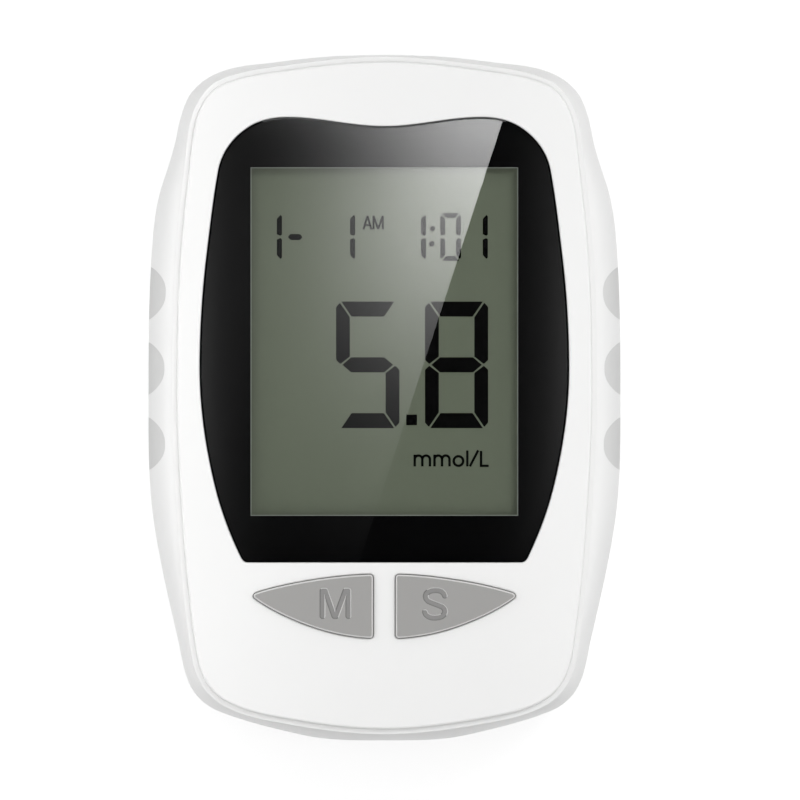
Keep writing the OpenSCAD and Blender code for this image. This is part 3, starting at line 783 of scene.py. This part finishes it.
def stroke(points, width, closed=False):
    """A ribbon of constant width along pixels of the photograph."""
    p = np.array(points, float)
    if closed:
        along = np.roll(p, -1, axis=0) - np.roll(p, 1, axis=0)
    else:
        along = np.gradient(p, axis=0)
    normal = np.stack([along[:, 1], -along[:, 0]], axis=1)
    normal /= np.linalg.norm(normal, axis=1)[:, None]
    left, right = p + normal * width / 2, p - normal * width / 2
    if closed:
        n = len(p)
        return [flat_shape([left[i], left[(i + 1) % n], right[(i + 1) % n], right[i]]) for i in range(n)]
    return [flat_shape([left[i], left[i + 1], right[i + 1], right[i]]) for i in range(len(p) - 1)]


def arc(cx, cy, rx, ry, start, end, n=12):
    turns = np.radians(np.linspace(start, end, n + 1))
    return [(cx + rx * math.cos(a), cy + ry * math.sin(a)) for a in turns]


def letter_m(x, top, base, w, pen):
    """A small m with two humps, its left stem centred on pixel x."""
    half = w / 2
    shapes = stroke([(x, top), (x, base)], pen)
    for k in (0, 1):
        left = x + k * half
        hump = arc(left + half / 2, top + half * 0.62, half / 2, half * 0.5, 180, 360)
        shapes += stroke(hump + [(left + half, base)], pen)
    return shapes


def unit_letters():
    top, base, pen = 454.6, 466.4, 2.5
    shapes = letter_m(414.7, top, base, 15.2, pen) + letter_m(434.5, top, base, 15.0, pen)
    shapes += stroke(arc(458.4, 461, 4.75, 4.75, 0, 360, 32)[:-1], pen, closed=True)
    shapes += stroke([(467.3, 450.4), (467.3, base)], pen - 0.1)
    shapes += stroke([(469.8, base), (478.2, 450.3)], pen - 0.1)
    shapes += stroke([(481, 450.9), (481, base + 0.6)], pen)
    shapes += stroke([(480, base - 0.6), (488.7, base - 0.6)], pen - 0.1)
    return shapes


def half_day_letters():
    top, base, pen = 215.9, 229.5, 2.0
    shapes = stroke([(363.4, base), (367.5, top)], pen) + stroke([(367.5, top), (371.4, base)], pen)
    shapes += stroke([(364.8, 225.1), (370.2, 225.1)], pen - 0.2)
    shapes += stroke([(373.5, base), (373.5, top)], pen) + stroke([(382.8, base), (382.8, top)], pen)
    valley = (378.2, base - 0.5)
    shapes += stroke([(373.5, top), valley], pen) + stroke([valley, (382.8, top)], pen)
    return shapes


def display_shapes():
    shapes = figure("afgcd", 336.1, 301.6, 63.3, 126.5, 13.8, 15)
    shapes += figure("abcdefg", 425, 301.6, 63.1, 126.5, 13.8, 15)
    shapes.append(flat_shape([(406.2, 414.6), (417, 414.6), (417, 425.2), (406.2, 425.2)]))
    for x in (282, 355.2, 426, 487.8):
        shapes += figure("bc", x - 5.1, 213, 5.1, 48, 5.1, 5, 1.6)
    shapes += figure("abcdef", 440.2, 213, 20.8, 48, 5, 5, 1.6)
    dash = [(287.9, 237.2), (290.4, 234.2), (299.9, 234.2), (302.5, 237.2), (299.9, 240.1), (290.9, 240.1)]
    shapes.append(flat_shape(dash))
    shapes += [disc(432.4, 228.6, 2.7), disc(431.7, 244, 2.8)]
    return shapes + half_day_letters() + unit_letters()


def display_ink():
    ink = merged("display_segments", display_shapes())
    return seat(dress(ink, segment_ink), "housing", "black_print")


display_ink()


# ---- Keys ----

KEY_EDGE = 0.26       # rounding of the top edges
LETTER_PEN = 4.2      # width of the letters' lines, in pixels of the photograph
LETTER_DEPTH = 0.12


def capsule_data(a, b, width, z):
    """A cutter with round ends for a groove from pixel a to pixel b, which widens upwards."""
    p, q = np.array(on_display(*a)), np.array(on_display(*b))
    turn = math.atan2(*(q - p)[::-1])

    def ring(r):
        around = [np.array([math.cos(turn + t), math.sin(turn + t)])
                  for t in np.linspace(-math.pi / 2, math.pi / 2, 13)]
        return np.array([q + r * c for c in around] + [p - r * c for c in around])
    low, top, high = z
    r = width * PX / 2
    return loft_data([at(ring(r - 0.02), low), at(ring(r + 0.1), top), at(ring(r + 0.1), high)])


def on_letter(place):
    """Whether a point lies in the middle of a key, where its letter is."""
    return 4.0 < abs(place.x / MM) < 8.6 and -27.9 < place.y / MM < -23.0


def key(name, flip, letter):
    """A key with its flange and stem, and the letter sunk into its top."""
    top = FACE_Z + KEY_PROUD
    edge = KEY_EDGE
    cap_ring = inset(KEY_RING, -0.04)
    rings = [at(cap_ring, FLANGE_Z[0] + 0.2)]
    rings += [at(inset(cap_ring, edge * (1 - math.cos(a))), top - edge * (1 - math.sin(a)))
              for a in np.linspace(0, math.pi / 2, 7)]
    cap, flange = loft_data(rings), prism_data(inset(KEY_RING, -0.45), FLANGE_Z)
    stem = turned_data([(2, STEM_LOW), (2, FLANGE_Z[0] + 0.1)], SWITCH_AT)
    parts = [cap, flange, stem]
    if flip:
        parts = [mirrored(p) for p in parts]
    piece = merged(name, [parts[0]])
    boolean(piece, "UNION", merged("flange", [parts[1]]), merged("stem", [parts[2]]))
    for groove in letter((top - LETTER_DEPTH, top, top + 1)):
        boolean(piece, "DIFFERENCE", merged("groove", [groove]))
    smooth(piece, 30)
    dress(piece, key_plastic, letter_paint, painted_key_highlight, painted_letter_shade)
    # Painted light: the rounded top edges and the letter walls facing the lower left get a lighter plastic
    # as a painted highlight, the other letter walls a darker plastic as painted shade; groove floors get
    # the letter paint.
    for face in piece.data.polygons:
        low = face.center.z < (top - LETTER_DEPTH * 0.98) * MM and face.normal.z > 0.99
        wall = face.center.z > (top - edge) * MM and 0.25 < face.normal.z < 0.99
        inside = wall and on_letter(face.center)
        lit = face.normal.x + face.normal.y < -0.1
        if low:
            face.material_index = 1
        elif inside:
            face.material_index = 2 if lit else 3
        else:
            face.material_index = 2 if wall else 0
    return piece


def groove_m(z):
    top, base = 590.4, 615.8
    lines = [((322.6, base), (322.6, top)), ((322.6, top), (325.5, top)), ((325.5, top), (334.4, base)),
             ((336.3, base), (345.6, top)), ((345.6, top), (348.4, top)), ((348.4, top), (348.4, base))]
    return [capsule_data(a, b, LETTER_PEN, z) for a, b in lines]


def groove_s(z):
    """An S, from points of its middle line and of that line turned half a turn."""
    cx, cy = 435.1, 603.6
    upper = [(9.6, -8.2), (8.6, -10.6), (6.3, -12.6), (3.3, -13.6), (0, -13.8), (-3.6, -13.4),
             (-6.6, -12.2), (-8.7, -10.2), (-9.5, -7.7), (-8.9, -5.1), (-7.0, -3.0), (-3.8, -1.5)]
    points = [(cx + x, cy + y) for x, y in upper] + [(cx - 1.06 * x, cy - y) for x, y in upper[::-1]]
    return [capsule_data(a, b, LETTER_PEN, z) for a, b in zip(points[:-1], points[1:])]


set_cap = key("set_key_cap", False, groove_s)
seat(set_cap, "set_key", "key_plastic", "set_key")
memory_cap = key("memory_key_cap", True, groove_m)
seat(memory_cap, "memory_key", "key_plastic", "memory_key")


# ---- CAD pieces that stay ----

KEPT = {
    "coin_cell": steel, "battery_contact_positive": gold, "battery_contact_negative": gold,
    "board_screws": steel, "main_board": circuit_board, "processor_chip": chip_package,
    "board_components": ceramic, "crystal": steel, "buzzer": dark_plastic,
    "strip_connector": connector_plastic, "strip_contacts": gold, "memory_switch": dark_plastic,
    "set_switch": dark_plastic, "memory_switch_plunger": connector_plastic,
    "set_switch_plunger": connector_plastic, "upper_zebra_strip": zebra_rubber,
    "lower_zebra_strip": zebra_rubber, "lcd_holder": holder_plastic, "lcd_reflector": lcd_film,
    "lcd_rear_glass": cell_glass, "lcd_front_glass": cell_glass, "lcd_front_polariser": lcd_film,
    "lens_adhesive": adhesive,
}
for node, material in KEPT.items():
    dress(frame["nodes"][node], material)


# ---- Stage ----

def stage_material(name):
    material = bpy.data.materials.new(name)
    material.use_nodes = True
    material.node_tree.nodes.clear()
    return material, material.node_tree


def add(tree, kind, **values):
    node = tree.nodes.new(kind)
    for key_name, value in values.items():
        node.inputs[key_name.replace("_", " ")].default_value = value
    return node


def math_node(tree, operation, a, b=None):
    node = tree.nodes.new("ShaderNodeMath")
    node.operation = operation
    for socket, value in zip(node.inputs, (a, b)):
        if value is None:
            continue
        if isinstance(value, (int, float)):
            socket.default_value = value
        else:
            tree.links.new(value, socket)
    return node.outputs[0]


def seen_directly(tree, ray):
    """1 for rays from the camera, straight or by way of a mirror or glass, and 0 for the rest."""
    indirect = math_node(tree, "MAXIMUM", ray.outputs["Is Glossy Ray"], ray.outputs["Is Transmission Ray"])
    return math_node(tree, "MAXIMUM", ray.outputs["Is Camera Ray"], indirect)


FLOOR_HALF = 3000.0
FLOOR_GREY = 0.35     # what the floor gives back of the light, low so that the object's sides stay clear
FLOOR_GLOW = 0.74     # brings the floor to white where it is seen


def floor():
    """White floor that keeps the shadow, isn't seen from below and lets light through from there."""
    material, tree = stage_material("floor")
    matt = add(tree, "ShaderNodeBsdfDiffuse", Color=(*[FLOOR_GREY] * 3, 1))
    glow = add(tree, "ShaderNodeEmission")
    ray = tree.nodes.new("ShaderNodeLightPath")
    seen = math_node(tree, "MULTIPLY", seen_directly(tree, ray), FLOOR_GLOW)
    tree.links.new(seen, glow.inputs["Strength"])
    both = tree.nodes.new("ShaderNodeAddShader")
    tree.links.new(matt.outputs[0], both.inputs[0])
    tree.links.new(glow.outputs[0], both.inputs[1])
    clear = tree.nodes.new("ShaderNodeBsdfTransparent")
    side = tree.nodes.new("ShaderNodeNewGeometry")
    mix = tree.nodes.new("ShaderNodeMixShader")
    passing = math_node(tree, "MAXIMUM", side.outputs["Backfacing"], ray.outputs["Is Shadow Ray"])
    tree.links.new(passing, mix.inputs[0])
    tree.links.new(both.outputs[0], mix.inputs[1])
    tree.links.new(clear.outputs[0], mix.inputs[2])
    out = tree.nodes.new("ShaderNodeOutputMaterial")
    tree.links.new(mix.outputs[0], out.inputs[0])
    half = FLOOR_HALF
    plane = new_mesh("floor", [(-half, -half, 0), (half, -half, 0), (half, half, 0), (-half, half, 0)],
                     [(0, 1, 2, 3)])
    dress(plane, material)


CAMERA_AT = (1.93, -0.31, 2764.0)     # above the middle of the picture
LENS_MM = 1000.0
CARD_Z, CARD_HALF = 1000.0, (27.0, 38.0)
# Ends of the glare's sharp edge, in pixels of the photograph
GLARE_EDGE = ((503.5, 118.4), (359.6, 561.0))
# Strengths of the card, and how far the glare reaches in millimetres of the window
GLARE, GLARE_DOWN, GLARE_SIDE = 3.7, 25.0, 14.85
FLASH, FLASH_DOWN = 1.91, 6.0
EDGE_GLOW = 0.30


def bell(tree, distance, width, extra=None):
    """Falls off with the square of a distance, plus an exponent of its own."""
    power = math_node(tree, "POWER", math_node(tree, "MULTIPLY", distance, 1 / width), 2.0)
    if extra is not None:
        power = math_node(tree, "ADD", power, extra)
    return math_node(tree, "EXPONENT", math_node(tree, "MULTIPLY", power, -1.0))


def glare_card():
    """Dark card above the meter with one bright corner, which the window mirrors."""
    grow = 1 + (CARD_Z - FACE_Z) / (CAMERA_AT[2] - FACE_Z)
    material, tree = stage_material("glare_card")
    place = tree.nodes.new("ShaderNodeTexCoord")
    split = tree.nodes.new("ShaderNodeSeparateXYZ")
    tree.links.new(place.outputs["Object"], split.inputs[0])
    # The point of the window that mirrors this point of the card, in millimetres
    x = math_node(tree, "MULTIPLY", split.outputs[0], 1 / (grow * MM))
    y = math_node(tree, "MULTIPLY", split.outputs[1], 1 / (grow * MM))
    top, low = (np.array(on_display(*end)) for end in GLARE_EDGE)
    ux, uy = (low - top) / np.hypot(*(low - top))
    from_x = math_node(tree, "SUBTRACT", x, float(top[0] - CAMERA_AT[0]))
    from_y = math_node(tree, "SUBTRACT", y, float(top[1] - CAMERA_AT[1]))
    down = math_node(tree, "ADD", math_node(tree, "MULTIPLY", from_x, float(ux)),
                     math_node(tree, "MULTIPLY", from_y, float(uy)))
    # uy, -ux points to the left of the line as the meter is read
    side = math_node(tree, "ADD", math_node(tree, "MULTIPLY", from_x, float(uy)),
                     math_node(tree, "MULTIPLY", from_y, float(-ux)))
    down = math_node(tree, "MAXIMUM", down, 0.0)
    fade_side = math_node(tree, "POWER", math_node(tree, "MULTIPLY", side, 1 / GLARE_SIDE), 2.0)
    broad = bell(tree, down, GLARE_DOWN, fade_side)
    steep = bell(tree, down, FLASH_DOWN)
    fall = math_node(tree, "ADD", math_node(tree, "MULTIPLY", broad, GLARE),
                     math_node(tree, "MULTIPLY", steep, FLASH))
    lit = math_node(tree, "MULTIPLY", fall, math_node(tree, "GREATER_THAN", side, 0.0))
    from_middle = math_node(tree, "ABSOLUTE", math_node(tree, "ADD", x, CAMERA_AT[0]))
    past_edge = math_node(tree, "SUBTRACT", from_middle, 22.0)
    edge = math_node(tree, "EXPONENT", math_node(tree, "MULTIPLY", past_edge, 1 / 2.55))
    strength = math_node(tree, "ADD", lit, math_node(tree, "MULTIPLY", edge, EDGE_GLOW))
    glow = add(tree, "ShaderNodeEmission")
    tree.links.new(strength, glow.inputs["Strength"])
    out = tree.nodes.new("ShaderNodeOutputMaterial")
    tree.links.new(glow.outputs[0], out.inputs[0])
    half_x, half_y = (half * grow for half in CARD_HALF)
    card = new_mesh("glare_card", [(-half_x, -half_y, 0), (half_x, -half_y, 0), (half_x, half_y, 0),
                                   (-half_x, half_y, 0)], [(0, 1, 2, 3)])
    card.location = (CAMERA_AT[0] * MM, CAMERA_AT[1] * MM, CARD_Z * MM)
    card.visible_camera = False
    card.visible_diffuse = False
    card.visible_shadow = False
    dress(card, material)


# Brightness of the sky at heights from the horizon, 0, to straight up, 1
SKY = ((0, 0.5), (0.25, 0.69), (0.5, 0.5), (0.75, 0.45), (1, 1.0))


def world():
    """Bright overhead, dimmer towards the horizon, and white where the camera sees it."""
    scene_world = bpy.data.worlds.new("studio")
    bpy.context.scene.world = scene_world
    scene_world.use_nodes = True
    tree = scene_world.node_tree
    tree.nodes.clear()
    place = tree.nodes.new("ShaderNodeTexCoord")
    split = tree.nodes.new("ShaderNodeSeparateXYZ")
    tree.links.new(place.outputs["Generated"], split.inputs[0])
    ramp = tree.nodes.new("ShaderNodeValToRGB")
    ramp.color_ramp.interpolation = "EASE"
    for height, level in SKY:
        stops = ramp.color_ramp.elements
        stop = stops[0] if height == 0 else stops[-1] if height == 1 else stops.new(height)
        stop.color = (level, level, level, 1)
    tree.links.new(split.outputs[2], ramp.inputs["Fac"])
    light = tree.nodes.new("ShaderNodeBackground")
    tree.links.new(ramp.outputs["Color"], light.inputs["Color"])
    tree.links.new(math_node(tree, "GREATER_THAN", split.outputs[2], 0.0), light.inputs["Strength"])
    white = add(tree, "ShaderNodeBackground", Color=(1, 1, 1, 1), Strength=1.0)
    seen = seen_directly(tree, tree.nodes.new("ShaderNodeLightPath"))
    mix = tree.nodes.new("ShaderNodeMixShader")
    tree.links.new(seen, mix.inputs[0])
    tree.links.new(light.outputs[0], mix.inputs[1])
    tree.links.new(white.outputs[0], mix.inputs[2])
    out = tree.nodes.new("ShaderNodeOutputWorld")
    tree.links.new(mix.outputs[0], out.inputs[0])


def area_light(name, place, size, watts):
    """A soft box that faces the middle of the meter. Places and sizes are in metres."""
    data = bpy.data.lights.new(name, "AREA")
    data.shape = "RECTANGLE"
    data.size, data.size_y = size
    data.energy = watts
    lamp = bpy.data.objects.new(name, data)
    bpy.context.scene.collection.objects.link(lamp)
    lamp.location = place
    lamp.rotation_euler = (-Vector(place)).to_track_quat("-Z", "Y").to_euler()
    lamp.visible_camera = False
    lamp.visible_glossy = False
    lamp.visible_transmission = False


def camera():
    data = bpy.data.cameras.new("camera")
    data.lens = LENS_MM
    data.sensor_width = 36.0
    data.clip_end = 10
    data.clip_start = 0.05
    shot = bpy.data.objects.new("camera", data)
    shot.location = tuple(c * MM for c in CAMERA_AT)
    bpy.context.scene.collection.objects.link(shot)
    bpy.context.scene.camera = shot


floor()
glare_card()
world()
area_light("key_light", (0.42, 0.45, 0.75), (0.35, 0.35), 1.95)
area_light("left_strip", (-0.064, 0, 0.058), (0.16, 0.02), 0.025)
area_light("right_strip", (0.068, 0, 0.058), (0.16, 0.02), 0.016)
area_light("top_strip", (0, 0.088, 0.05), (0.10, 0.02), 0.0014)
area_light("under_light", (0, 0.05, -0.45), (0.40, 0.40), 0.7)
camera()

bpy.context.scene.view_settings.view_transform = "Standard"
